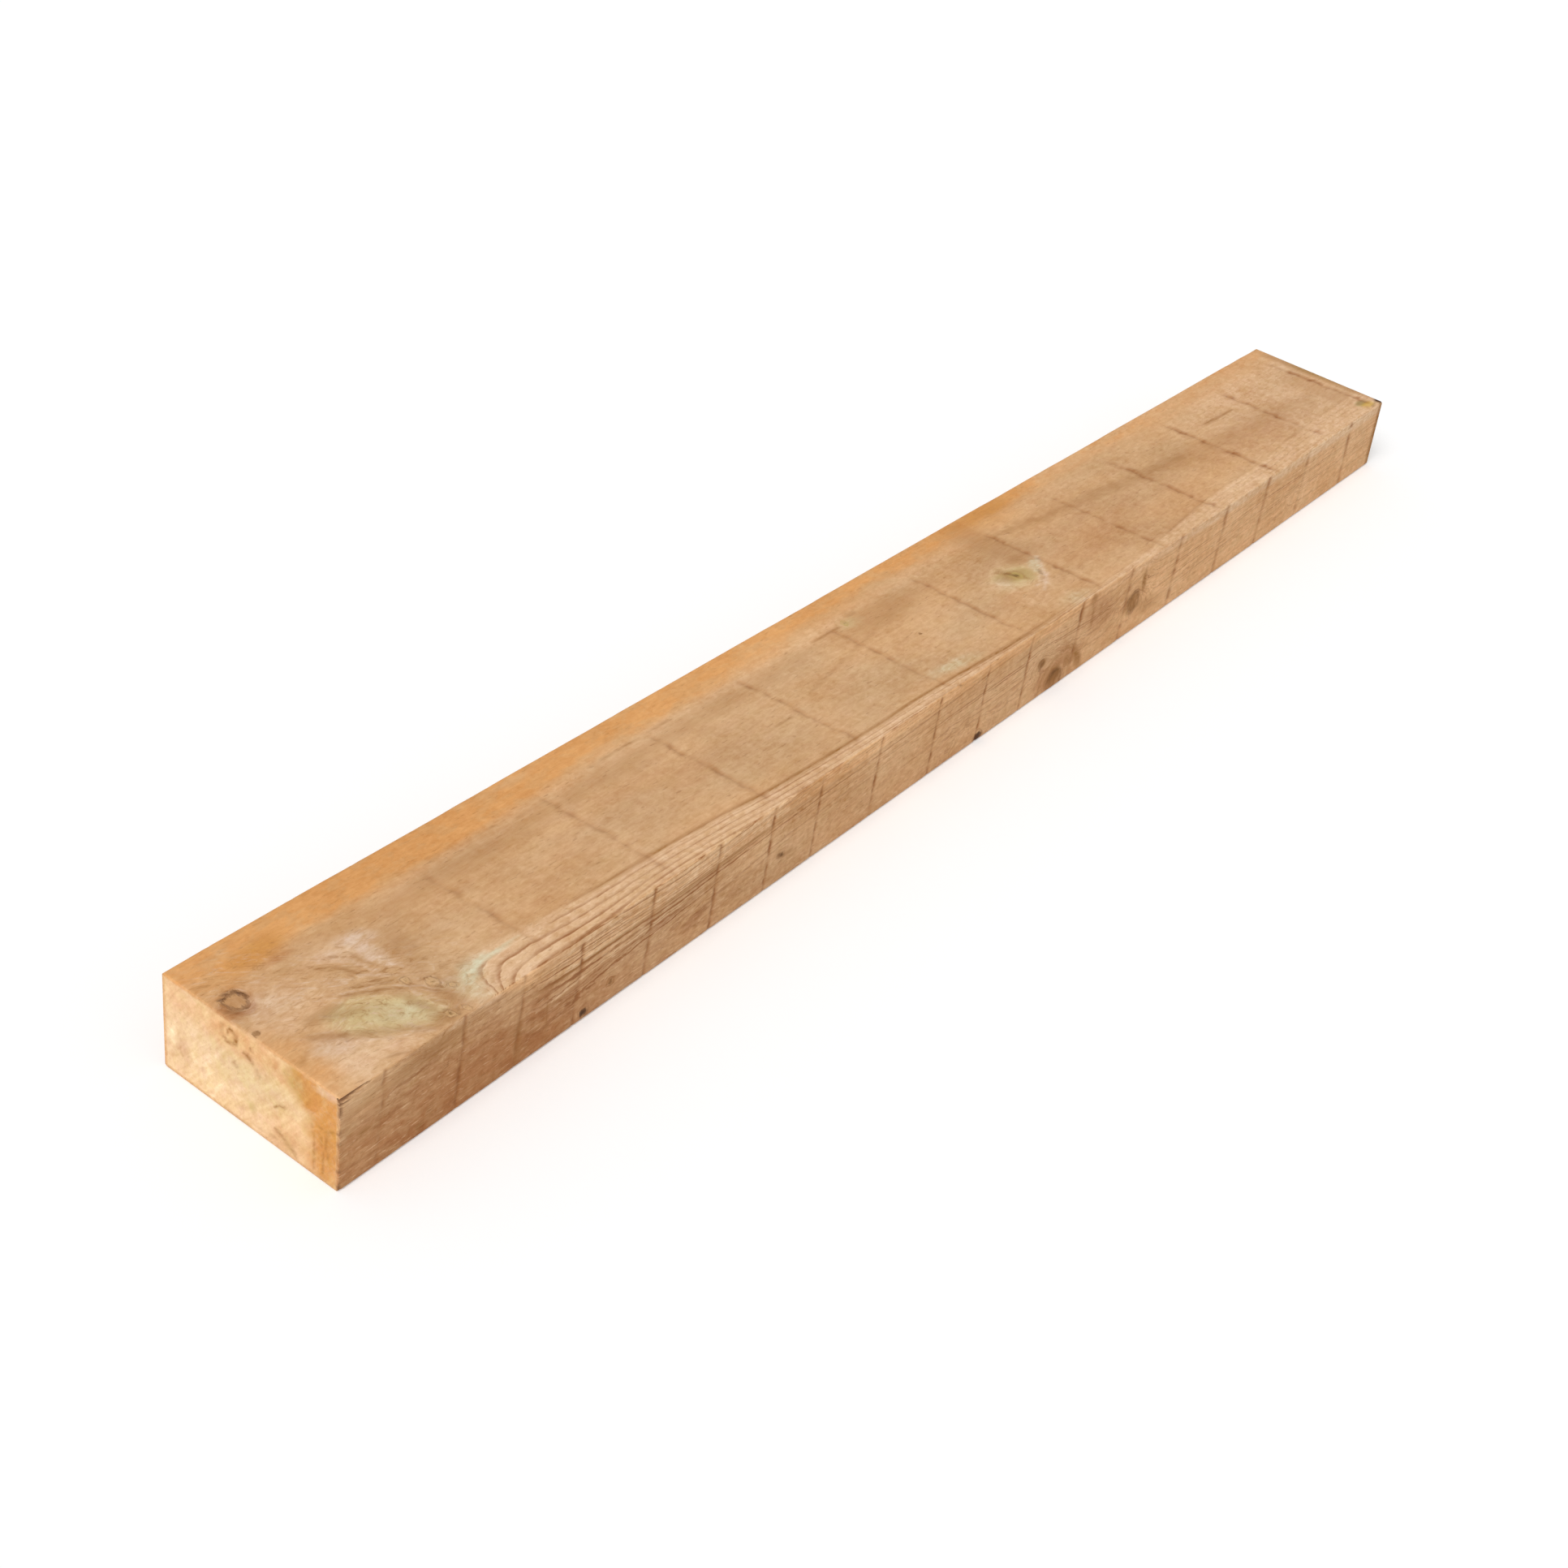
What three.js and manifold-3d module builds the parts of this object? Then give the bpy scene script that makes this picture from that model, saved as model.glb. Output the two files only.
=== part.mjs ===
// Railway sleeper: one baulk of softwood, sawn on all four sides and crosscut at both ends.
//
// Frame, in millimetres: +X runs along the length from the front end to the back end, +Y goes
// across the width and +Z is up. The origin is in the middle of the underside.

import * as THREE from 'three';
import { mergeVertices } from 'three/addons/utils/BufferGeometryUtils.js';
import Module from 'manifold-3d';

// ---- Driving dimensions ---------------------------------------------------------------------

// The baulk
const LENGTH = 2400;
const WIDTH = 250;
const HEIGHT = 125;
const ARRIS_RADIUS = 3; // worn rounding of the four long edges
const END_ARRIS = 1; // chamfer round each crosscut end

// Saw scores: the blades dwell once in each stroke of the feed and leave a shallow V across the
// face there. The two wide faces are sawn in one pass and the two narrow ones in another, so
// opposite faces carry the same strokes. The lists give the feed from each score to the next, in
// order from the front end, and a longer baulk goes through them again.
const SCORE_WIDTH = 4;
const SCORE_DEPTH = 0.7;
const END_MARGIN = 25; // length at each end that stays clear of scores
const WIDE_FIRST = 297; // from the front end to the first score
const WIDE_STROKES = [196, 187, 178, 188, 196, 190, 180, 179, 192, 192, 185];
const WIDE_LEAN = -9; // how far along +X a score runs while it crosses the width
const NARROW_FIRST = 54;
const NARROW_STROKES = [
  110, 87, 91, 117, 115, 102, 95, 123, 132, 115, 109, 134, 141, 148, 149, 142, 147, 167,
];
const NARROW_LEAN_FRONT = 8; // how far along +X one runs up the height, at the front end
const NARROW_LEAN_BACK = -12; // and at the back end

// The chipped corner: a sliver split out of the right face close under its upper arris, at the
// front end, and a lesser one below it
const CHIP_LENGTH = 46;
const CHIP_DROP = 7; // height of its mouth
const CHIP_DEPTH = 4;
const CHIP_LIP = 1.2; // wood left over it, under the top face
const SLIVERS = 2;
const SLIVER_SHRINK = 0.55; // size of a sliver against the one above it
const SLIVER_TIP = 0.04; // section at its far tip against its mouth

const ARRIS_STEPS = 6; // facets in each quarter round
const CUT_REACH = 3; // how far the cutting solids stand out of the wood

// ---- Between three.js geometry and solids -----------------------------------------------------

const wasm = await Module();
wasm.setup();

function toSolid(geometry) {
  const bare = geometry.clone();
  bare.deleteAttribute('normal');
  bare.deleteAttribute('uv');
  const merged = mergeVertices(bare);
  return new wasm.Manifold(new wasm.Mesh({
    numProp: 3,
    vertProperties: new Float32Array(merged.attributes.position.array),
    triVerts: new Uint32Array(merged.index.array),
  }));
}

function toGeometry(solid) {
  const mesh = solid.getMesh();
  const geometry = new THREE.BufferGeometry();
  geometry.setAttribute('position', new THREE.BufferAttribute(mesh.vertProperties, 3));
  geometry.setIndex(new THREE.BufferAttribute(mesh.triVerts, 1));
  geometry.computeVertexNormals();
  return geometry;
}

// Turns an extrusion so that it runs along +X, with its outline's x and y along Y and Z
function alongX(geometry) {
  const across = new THREE.Vector3(0, 1, 0);
  const up = new THREE.Vector3(0, 0, 1);
  const along = new THREE.Vector3(1, 0, 0);
  return geometry.applyMatrix4(new THREE.Matrix4().makeBasis(across, up, along));
}

// ---- The sawn blank, centred on the axis of the baulk -------------------------------------------

function section() {
  const y = WIDTH / 2 - ARRIS_RADIUS;
  const z = HEIGHT / 2 - ARRIS_RADIUS;
  const quarter = Math.PI / 2;
  const outline = new THREE.Shape();
  outline.absarc(y, z, ARRIS_RADIUS, 0, quarter);
  outline.absarc(-y, z, ARRIS_RADIUS, quarter, 2 * quarter);
  outline.absarc(-y, -z, ARRIS_RADIUS, 2 * quarter, 3 * quarter);
  outline.absarc(y, -z, ARRIS_RADIUS, 3 * quarter, 4 * quarter);
  return outline;
}

function blank() {
  const chamfer = Math.min(END_ARRIS, 0.8 * ARRIS_RADIUS);
  const depth = LENGTH - 2 * chamfer;
  const baulk = new THREE.ExtrudeGeometry(section(), {
    depth,
    curveSegments: ARRIS_STEPS,
    bevelThickness: chamfer,
    bevelSize: chamfer,
    bevelOffset: -chamfer,
    bevelSegments: 1,
  });
  return alongX(baulk.translate(0, 0, -depth / 2));
}

// ---- Saw scores -----------------------------------------------------------------------------

// Places of the scores along X, from the middle of the baulk
function stations(first, strokes) {
  const found = [];
  for (let fromFront = first; fromFront < LENGTH - END_MARGIN;) {
    found.push(fromFront - LENGTH / 2);
    fromFront += strokes[(found.length - 1) % strokes.length];
  }
  return found;
}

// A three-sided bar that cuts one score into a face that looks up, faceHeight above the axis.
// It passes both arrises, and runs the length of lean along +X on its way across the face.
function scoreBar(across, faceHeight, lean) {
  const mouth = (SCORE_WIDTH / 2) * (1 + CUT_REACH / SCORE_DEPTH);
  const outline = new THREE.Shape([
    new THREE.Vector2(0, faceHeight - SCORE_DEPTH),
    new THREE.Vector2(mouth, faceHeight + CUT_REACH),
    new THREE.Vector2(-mouth, faceHeight + CUT_REACH),
  ]);
  const reach = across + 2 * CUT_REACH;
  const bar = new THREE.ExtrudeGeometry(outline, { depth: reach, bevelEnabled: false });
  bar.translate(0, 0, -reach / 2).rotateX(Math.PI / 2);
  return bar.applyMatrix4(new THREE.Matrix4().makeShear(0, 0, lean / across, 0, 0, 0));
}

function narrowLean(station) {
  return THREE.MathUtils.lerp(NARROW_LEAN_FRONT, NARROW_LEAN_BACK, station / LENGTH + 0.5);
}

function scores() {
  const bars = [];
  for (const side of [1, -1]) {
    for (const station of stations(WIDE_FIRST, WIDE_STROKES)) {
      const bar = scoreBar(WIDTH, HEIGHT / 2, side * WIDE_LEAN);
      bars.push(bar.rotateX(side > 0 ? 0 : Math.PI).translate(station, 0, 0));
    }
    for (const station of stations(NARROW_FIRST, NARROW_STROKES)) {
      const bar = scoreBar(HEIGHT, WIDTH / 2, side * narrowLean(station));
      bars.push(bar.rotateX((side * Math.PI) / 2).translate(station, 0, 0));
    }
  }
  return bars;
}

// ---- Chipped corner ---------------------------------------------------------------------------

// One sliver: a wedge along the grain that runs out to next to nothing at its tip. Its outline
// is drawn from the sharp corner of the section, with x going into the wood.
function sliver(size, top) {
  const bottom = top - CHIP_DROP * size;
  const outline = new THREE.Shape([
    new THREE.Vector2(CHIP_DEPTH * size, top + (bottom - top) / 4),
    new THREE.Vector2(0, top),
    new THREE.Vector2(-CUT_REACH, top),
    new THREE.Vector2(-CUT_REACH, bottom),
    new THREE.Vector2(0, bottom),
  ]);
  const run = CHIP_LENGTH * size + CUT_REACH;
  const wedge = new THREE.ExtrudeGeometry(outline, { depth: run, bevelEnabled: false });
  const corners = wedge.attributes.position;
  for (let i = 0; i < corners.count; i += 1) {
    if (corners.getZ(i) > 0) {
      corners.setXY(i, corners.getX(i) * SLIVER_TIP, top + (corners.getY(i) - top) * SLIVER_TIP);
    }
  }
  return alongX(wedge.translate(0, 0, -CUT_REACH));
}

function chip() {
  const slivers = [];
  let top = -CHIP_LIP;
  for (let i = 0; i < SLIVERS; i += 1) {
    const size = SLIVER_SHRINK ** i;
    slivers.push(sliver(size, top).translate(-LENGTH / 2, -WIDTH / 2, HEIGHT / 2));
    top -= CHIP_DROP * size;
  }
  return slivers;
}

// ---- The sleeper --------------------------------------------------------------------------------

function sawnPine() {
  return new THREE.MeshStandardMaterial({ color: 0xcba276, roughness: 0.8, metalness: 0 });
}

function sleeper() {
  let solid = toSolid(blank());
  for (const cutter of [...scores(), ...chip()]) solid = solid.subtract(toSolid(cutter));
  const mesh = new THREE.Mesh(toGeometry(solid), sawnPine());
  mesh.material.flatShading = true;
  mesh.name = 'sleeper';
  mesh.position.z = HEIGHT / 2;
  return mesh;
}

const part = new THREE.Group();
part.add(sleeper());

export default part;
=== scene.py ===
"""Dresses the railway sleeper: one closed mesh of sawn pine in place of the plain solid.

Every place and size on the wood is in millimetres: x from the front end, y across the width from
the middle, z up from the underside. Vertices go to Blender in metres, in the frame's own axes.
The looks come from fields that are worked out for each vertex and kept as mesh attributes:
growth rings, flow of the grain round the knots, saw scores and stains. Relief is cut from the same
fields, and one procedural material reads them and adds what is finer than the mesh.
"""

import math
from functools import partial, reduce
from types import SimpleNamespace

import bpy
import numpy as np
from mathutils import Matrix, Vector
from mathutils.geometry import delaunay_2d_cdt

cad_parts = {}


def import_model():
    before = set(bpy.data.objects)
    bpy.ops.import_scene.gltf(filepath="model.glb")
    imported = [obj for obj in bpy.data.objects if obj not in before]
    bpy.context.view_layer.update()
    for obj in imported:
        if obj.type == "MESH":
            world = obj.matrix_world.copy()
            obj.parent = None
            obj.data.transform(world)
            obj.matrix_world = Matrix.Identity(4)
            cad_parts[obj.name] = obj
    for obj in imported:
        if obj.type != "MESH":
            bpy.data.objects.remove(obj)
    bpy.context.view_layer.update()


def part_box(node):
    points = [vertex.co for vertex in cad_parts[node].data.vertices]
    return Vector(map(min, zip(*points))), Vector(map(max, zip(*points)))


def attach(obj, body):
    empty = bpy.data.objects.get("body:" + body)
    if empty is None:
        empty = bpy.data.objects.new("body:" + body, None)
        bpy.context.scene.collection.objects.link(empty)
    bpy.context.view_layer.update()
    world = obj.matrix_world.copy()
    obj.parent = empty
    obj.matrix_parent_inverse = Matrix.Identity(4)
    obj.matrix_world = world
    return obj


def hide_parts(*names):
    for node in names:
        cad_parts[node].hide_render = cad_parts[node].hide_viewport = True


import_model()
NODE = "sleeper"

MM = 0.001
LOW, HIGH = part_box(NODE)
LENGTH, WIDTH, HEIGHT = ((HIGH[i] - LOW[i]) / MM for i in range(3))

# ---- Sizes of the sawn baulk, as in the solid ----

ARRIS_RADIUS = 3.0
END_ARRIS = 1.0
SCORE_WIDTH = 4.0
SCORE_DEPTH = 0.7
WIDE_FIRST = 297
WIDE_STROKES = (196, 187, 178, 188, 196, 190, 180, 179, 192, 192, 185)
WIDE_LEAN = -9
NARROW_FIRST = 54
NARROW_STROKES = (
    110, 87, 91, 117, 115, 102, 95, 123, 132, 115, 109, 134, 141, 148, 149, 142, 147, 167,
)
NARROW_LEAN_FRONT = 8
NARROW_LEAN_BACK = -12
CHIP_LENGTH = 46
CHIP_DROP = 7
CHIP_DEPTH = 4
CHIP_LIP = 1.2
SLIVER_SHRINK = 0.55
SLIVER_TIP = 0.04

WIDE_SCORES = WIDE_FIRST + np.cumsum((0,) + WIDE_STROKES)
NARROW_SCORES = NARROW_FIRST + np.cumsum((0,) + NARROW_STROKES)


# ---- Seeded noise and curves ----

def lattice(ix, iy, iz, seed):
    """A fixed random number from -1 to 1 for each whole-numbered place."""
    n = (ix * 374761393 + iy * 668265263 + iz * 1103515245 + seed * 1274126177) & 0xFFFFFFFF
    n = ((n ^ (n >> 13)) * 1274126177) & 0xFFFFFFFF
    n = ((n ^ (n >> 16)) * 668265263) & 0xFFFFFFFF
    return (n ^ (n >> 15)) / 2.0**31 - 1.0


def noise(p, seed):
    """Smooth noise from -1 to 1 at the points p, one bump to the unit."""
    cell = np.floor(p).astype(np.int64)
    f = p - cell
    u = f * f * (3 - 2 * f)
    total = np.zeros(len(p))
    for corner in range(8):
        step = np.array([corner & 1, corner >> 1 & 1, corner >> 2 & 1])
        weight = np.prod(np.where(step, u, 1 - u), axis=1)
        total += weight * lattice(*(cell + step).T, seed)
    return total


def drift(p, size, seed, octaves=2):
    """Noise with bumps of the given size in mm along x, y and z, and finer ones on them. Each
    use has a seed of its own."""
    q = p / np.array(size, float)
    total, weight = np.zeros(len(p)), 0.0
    for octave in range(octaves):
        share = 0.5**octave
        total += share * noise(q * 2**octave + 17.3 * octave, seed + octave)
        weight += share
    return total / weight


def smooth(value, start, end):
    """0 at start, 1 at end and an S-curve between them."""
    t = np.clip((value - start) / (end - start), 0, 1)
    return t * t * (3 - 2 * t)


def bell(value, half):
    """1 at 0, falling away to both sides over about the given half width."""
    return np.exp(-((value / half) ** 2))


def curve(points, x):
    """A smooth curve through the given (x, value) points, level before the first and after the
    last."""
    at, value = np.array(points, float).T
    slope = np.gradient(value, at)
    i = np.clip(np.searchsorted(at, x) - 1, 0, len(at) - 2)
    gap = at[i + 1] - at[i]
    t = np.clip((x - at[i]) / gap, 0, 1)
    rise = t * t * (3 - 2 * t)
    bend = gap * (slope[i] * (t - 2 * t**2 + t**3) + slope[i + 1] * (t**3 - t**2))
    return value[i] * (1 - rise) + value[i + 1] * rise + bend


# ---- Grid of the mesh ----

ROW_PITCH = 6.6
SCORE_PITCH = 1.6
KNOT_PITCH = 3.4
SCORE_REACH = 7.5  # a score leans and wanders this far from its station
LEANED_SCORE = 2371  # where the back end leans, the last score of the top runs on to here
FINE_STRETCHES = ((0, 230), (1050, 1150), (1290, 1420), (1525, 1590), (2345, 2400))
# Pitch of the columns up to each place: across the top, and up the right side
TOP_PITCHES = ((-85, 2.5), (75, 3.6), (WIDTH, 4.2))
RIGHT_PITCHES = ((78, 4.2), (HEIGHT - 14, 2.6), (HEIGHT, 1.3))
UNDER_COLUMNS = 6
LEFT_COLUMNS = 13
ARRIS_STEPS = 4
FRONT_PITCH, BACK_PITCH = 3.2, 5.0
CAP_CORNER = 6  # the grid of an end is rounded off this near to its corners
# The two rows that ease each crosscut arris: how far from the end, and how far inside the faces
EASE_FROM_END = END_ARRIS * np.array((0, 0.3))
EASE_INSET = END_ARRIS * np.array((1, 0.3))


def spread(start, end, pitch):
    """Places from start to end, as far apart as pitch(place) says, with both ends among them."""
    fine = np.linspace(start, end, 6000)
    middle = (fine[1:] + fine[:-1]) / 2
    crossed = np.concatenate(([0], np.cumsum(abs(np.diff(fine)) / pitch(middle))))
    steps = math.ceil(crossed[-1])
    return np.interp(np.linspace(0, crossed[-1], steps + 1), crossed, fine)


def row_pitch(x):
    """Distance between the rows at x: finer round the knots, and finest along the scores."""
    pitch = np.full(len(x), ROW_PITCH)
    for start, end in FINE_STRETCHES:
        pitch[(x > start) & (x < end)] = KNOT_PITCH
    for station in (*WIDE_SCORES, *NARROW_SCORES, LEANED_SCORE):
        pitch[abs(x - station) < SCORE_REACH] = SCORE_PITCH
    return pitch


def columns(start, end, table):
    """Places from start to end at the pitches of a table."""
    ends, pitches = np.transpose(table)
    return spread(start, end, lambda at: pitches[np.searchsorted(ends, at)])


def quarter(y, z, start):
    """Inner points of one rounded arris about (y, z), with their outward normals."""
    angles = np.radians(start + np.linspace(0, 90, ARRIS_STEPS + 1)[1:-1])
    out = np.stack((np.cos(angles), np.sin(angles)), 1)
    return np.array([y, z]) + ARRIS_RADIUS * out, out


def flat(places, other, axis, normal):
    """Points of one flat side of the section: places along axis 0 (y) or 1 (z)."""
    points = np.full((len(places), 2), float(other))
    points[:, axis] = places
    return points, np.tile(np.array(normal, float), (len(places), 1))


def section():
    """The section's outline seen from the front, with its normals: from the left end of the top
    face on over the right side and back round by the underside."""
    y, z, r = WIDTH / 2, HEIGHT, ARRIS_RADIUS
    points, normals = zip(
        flat(columns(y - r, r - y, TOP_PITCHES), z, 0, (0, 1)), quarter(r - y, z - r, 90),
        flat(columns(z - r, r, RIGHT_PITCHES), -y, 1, (-1, 0)), quarter(r - y, r, 180),
        flat(np.linspace(r - y, y - r, UNDER_COLUMNS), 0, 0, (0, -1)), quarter(y - r, r, 270),
        flat(np.linspace(r, z - r, LEFT_COLUMNS), y, 1, (1, 0)), quarter(y - r, z - r, 0),
    )
    return np.concatenate(points), np.concatenate(normals)


def skin(points, normals):
    """The four long sides, with all the section's points at every station. Returns base places,
    normals, shares of the way round, faces and the two end loops."""
    inner = spread(END_ARRIS, LENGTH - END_ARRIS, row_pitch)
    stations = np.concatenate((EASE_FROM_END, inner, LENGTH - EASE_FROM_END[::-1]))
    inset = np.concatenate((EASE_INSET, np.zeros(len(inner)), EASE_INSET[::-1]))
    x = np.broadcast_to(stations[:, None, None], (len(stations), len(points), 1))
    places = np.concatenate((x, points - normals * inset[:, None, None]), 2).reshape(-1, 3)
    out = np.tile(np.pad(normals, ((0, 0), (1, 0))), (len(stations), 1))
    steps = np.linalg.norm(np.diff(points, axis=0, append=points[:1]), axis=1)
    passed = np.concatenate(([0], np.cumsum(steps)))
    turn = np.tile(passed[:-1] / passed[-1], len(stations))
    index = np.arange(len(places)).reshape(len(stations), -1)
    beside = np.roll(index, -1, axis=1)
    faces = np.stack((index[:-1], beside[:-1], beside[1:], index[1:]), -1).reshape(-1, 4).tolist()
    return places, out, turn, faces, index[0], index[-1]


def cap(loop, loop_yz, pitch, x, first_new, outward):
    """One end: a grid inside the end loop, joined to it by triangles."""
    inset = END_ARRIS + ARRIS_RADIUS / 2
    half = np.array([WIDTH / 2, HEIGHT / 2])
    across = np.linspace(inset - WIDTH / 2, WIDTH / 2 - inset, round(WIDTH / pitch))
    up = np.linspace(inset, HEIGHT - inset, round(HEIGHT / pitch))
    grid = np.stack(np.meshgrid(across, up), -1).reshape(-1, 2)
    past = np.maximum(abs(grid - [0, HEIGHT / 2]) - (half - CAP_CORNER), 0)
    grid = grid[np.hypot(*past.T) < CAP_CORNER - inset]
    points = [Vector(p) for p in np.concatenate((loop_yz, grid))]
    edges = [(i, (i + 1) % len(loop)) for i in range(len(loop))]
    _, _, made, origin, *_ = delaunay_2d_cdt(points, edges, [], 1, 1e-5)
    name = np.concatenate((loop, first_new + np.arange(len(grid))))
    faces = [[int(name[origin[v][0]]) for v in face[::outward]] for face in made]
    places = np.column_stack((np.full(len(grid), x), grid))
    return places, np.tile([outward, 0.0, 0.0], (len(grid), 1)), faces


def baulk():
    """Base places, outward normals, faces and shares of the way round of the whole mesh, and how
    many of its faces are on the long sides."""
    places, out, turn, faces, front, back = skin(*section())
    skin_faces = len(faces)
    for loop, pitch, x, outward in ((front, FRONT_PITCH, 0.0, -1), (back, BACK_PITCH, LENGTH, 1)):
        more, more_out, more_faces = cap(loop, places[loop, 1:], pitch, x, len(places), outward)
        places = np.concatenate((places, more))
        out = np.concatenate((out, more_out))
        faces += more_faces
    turn = np.pad(turn, (0, len(places) - len(turn)))
    return places, out, faces, turn, skin_faces


class Places:
    """Places on the wood with their outward normals, and how much each belongs to each side: 1
    on the side, fading to 0 round the arrises."""

    def __init__(self, p, out):
        self.p, self.out = p, out
        self.front, self.right, self.under = smooth(-out.T, 0.35, 0.85)
        self.back, self.left, self.top = smooth(out.T, 0.35, 0.85)
        self.wide = np.maximum(self.top, self.under)
        self.narrow = np.maximum(self.left, self.right)
        self.ends = np.maximum(self.front, self.back)


# ---- Inside the wood: pith, growth rings and knots ----

PITH_Y = ((0, 5), (400, 4), (800, -8), (1200, -22), (1600, -28), (2000, -38), (2400, -48))
PITH_Z = ((0, 34), (400, 31), (1200, 30), (1600, 36), (1800, 28), (2100, 22), (2400, 20))

# Where the growth ring that parts the tan middle from the pale right strip comes to the top face
STRIP_EDGE = (
    (0, -69), (290, -69), (375, -78), (496, -84), (600, -90), (704, -99), (858, -105),
    (1058, -109), (1200, -116), (1300, -119), (1450, -117), (1617, -109), (1700, -101),
    (1800, -93), (2017, -90), (2092, -83), (2175, -79), (2400, -74),
)
STRIP_RING_RADIUS = 131.5
# Height at which a strong ring runs along the right side
SIDE_LINE = (
    (0, 92), (210, 90), (320, 85), (375, 87), (525, 91), (600, 95), (750, 103), (900, 105),
    (2400, 96),
)
SIDE_RING_RADIUS = 139.6

# A knot is a branch that grows from the pith to a place on the surface: that place, how far
# towards the back end it starts at the pith, its radius there, how far it lifts the rings
# round it, and its kind
KNOTS = (
    ((23, 41.5, 125), -20, 12, 9, "loose"), ((5, -5, 125), 5, 4.5, 5, "pin"),
    ((112, -68, 125), -70, 25, 7, "whorl"), ((179, -66, 125), -10, 7.5, 10, "burr"),
    ((161, -47, 125), -10, 5.5, 8, "burr"), ((190, -84, 125), -10, 3.5, 5, "burr"),
    ((158, -112, 125), -10, 4.5, 5, "burr"), ((176, -118, 125), -10, 3.5, 4, "burr"),
    ((1071, 61, 125), 14, 6, 9, "green"), ((1129, -20, 125), 8, 3.5, 6, "pin"),
    ((1365, -23, 125), 12, 12, 16, "green"), ((355, -125, 12), 10, 5.5, 8, "black"),
    ((398, -125, 29), 8, 4.5, 4, "pin"), ((704, -125, 42), 6, 3.5, 5, "pin"),
    ((1148, -125, 7), 10, 8, 8, "black"), ((1292, -125, 60), 14, 8.5, 10, "brown"),
    ((1342, -125, 14), 18, 19, 18, "brown"), ((1551, -125, 57), 20, 17, 14, "brown"),
    ((540, 125, 70), 16, 16, 12, "brown"), ((1360, 125, 52), 14, 13, 12, "brown"),
    ((1930, 125, 88), 12, 7, 8, "black"), ((350, 36, 0), 14, 13, 12, "brown"),
    ((1120, -40, 0), 12, 17, 14, "loose"), ((1590, 52, 0), 12, 9, 10, "black"),
    ((2110, -66, 0), 12, 14, 12, "brown"),
)

# The whorl at the front pushes the rings of the strip outwards: by this share of how far inside
# the strip they lie, in full up to the first station and fading over the next length beyond it
WHORL_PUSH = 0.65
WHORL_FULL, WHORL_FADES = 206, 20
# Up to the first of these stations the rings of the strip lie wider apart by this factor, which
# fades out up to the second
RINGS_WIDE = 1.5
RINGS_WIDE_UNTIL = (280, 520)


def pith(x):
    """The y and z of the pith at x."""
    return curve(PITH_Y, x), curve(PITH_Z, x)


def knot_fields(p):
    """Distance from the nearest knot's axis over its radius, the lift of the rings, the places
    moved along with the grain that flows round the knots, and the share of each knot kind."""
    nearest = np.full(len(p), 9.0)
    lift = np.zeros(len(p))
    flow = p.copy()
    kinds = {kind: np.zeros(len(p)) for *_, kind in KNOTS}
    for surface, back, radius, rise, kind in KNOTS:
        foot = surface[0] + back
        heart = np.array([foot, *np.ravel(pith(np.array([foot])))])
        axis = np.array(surface) - heart
        reach = np.linalg.norm(axis)
        axis /= reach
        near = np.flatnonzero(np.linalg.norm(p - surface, axis=1) < 6 * radius + 30)
        q = p[near] - heart
        along = q @ axis
        q -= along[:, None] * axis
        branch = radius * np.clip(along / reach, 0.2, 1.3)
        wobble = 1 + 0.45 * drift(p[near], radius, 11, 3)
        ratio = np.linalg.norm(q, axis=1) / branch * wobble
        ratio = np.where(along > 0, ratio, 9)
        nearest[near] = np.minimum(nearest[near], ratio)
        kinds[kind][near] = np.maximum(kinds[kind][near], np.exp(-((ratio / 1.3) ** 4)))
        lift[near] += rise * bell(ratio, 2.3)
        side = np.cross(axis, [1.0, 0, 0])
        side /= np.linalg.norm(side)
        push = np.where(ratio < 1, 1, np.exp(-(ratio - 1) / 2.2) / np.maximum(ratio, 1) ** 2)
        flow[near] -= (q @ side * push)[:, None] * side
    return nearest, lift, flow, kinds


def whorl_lift(p):
    """How far the whorl at the front end pushes the rings of the top outwards."""
    x, y, z = p.T
    beyond = np.maximum(x + 3 * drift(p, (40, 16, 16), 12) - WHORL_FULL, 0)
    inside = np.clip(curve(STRIP_EDGE, x) - y, 0, 60)
    return WHORL_PUSH * inside * np.exp(-beyond / WHORL_FADES) * smooth(z, 116, 125)


def ring_swell(x, across, up):
    """How wide the rings lie at a place beside their width in rings_within, by its direction."""
    y, z = pith(x)
    top = np.hypot(curve(STRIP_EDGE, x) - y, HEIGHT - z) / STRIP_RING_RADIUS
    side = np.hypot(WIDTH / 2 + y, curve(SIDE_LINE, x) - z) / SIDE_RING_RADIUS
    angle = np.degrees(np.arctan2(up, -across))
    share = smooth(angle, 48, 25)
    right = top * (1 - share) + side * share
    elsewhere = np.maximum(smooth(angle, 75, 130), smooth(angle, 10, -30))
    return right * (1 - elsewhere) + elsewhere


def rings_within(radius):
    """Number of rings inside a radius: they grow narrower outwards."""
    return radius / 7.4 + (radius / 85) ** 2


# This much brings a dark band of late wood onto the edge of the pale strip
RING_PHASE = 0.93 - rings_within(STRIP_RING_RADIUS) % 1
STRIP_RINGS = rings_within(STRIP_RING_RADIUS) + RING_PHASE


def ring_count(p, flow, lift):
    """Number of growth rings between the pith and each place."""
    y, z = pith(p[:, 0])
    across, up = flow[:, 1] - y, flow[:, 2] - z
    radius = np.hypot(across, up) / ring_swell(p[:, 0], across, up)
    radius += 1.2 * drift(p, (420, 60, 60), 21) + 0.6 * drift(p, (130, 26, 26), 23)
    radius = np.maximum(radius - lift - whorl_lift(p), 0)
    outer = np.maximum(radius - STRIP_RING_RADIUS, 0)
    wide = 1 - 1 / (1 + (RINGS_WIDE - 1) * smooth(p[:, 0], *RINGS_WIDE_UNTIL[::-1]))
    return rings_within(radius - outer * wide) + RING_PHASE


# ---- What shows on each face ----

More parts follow.
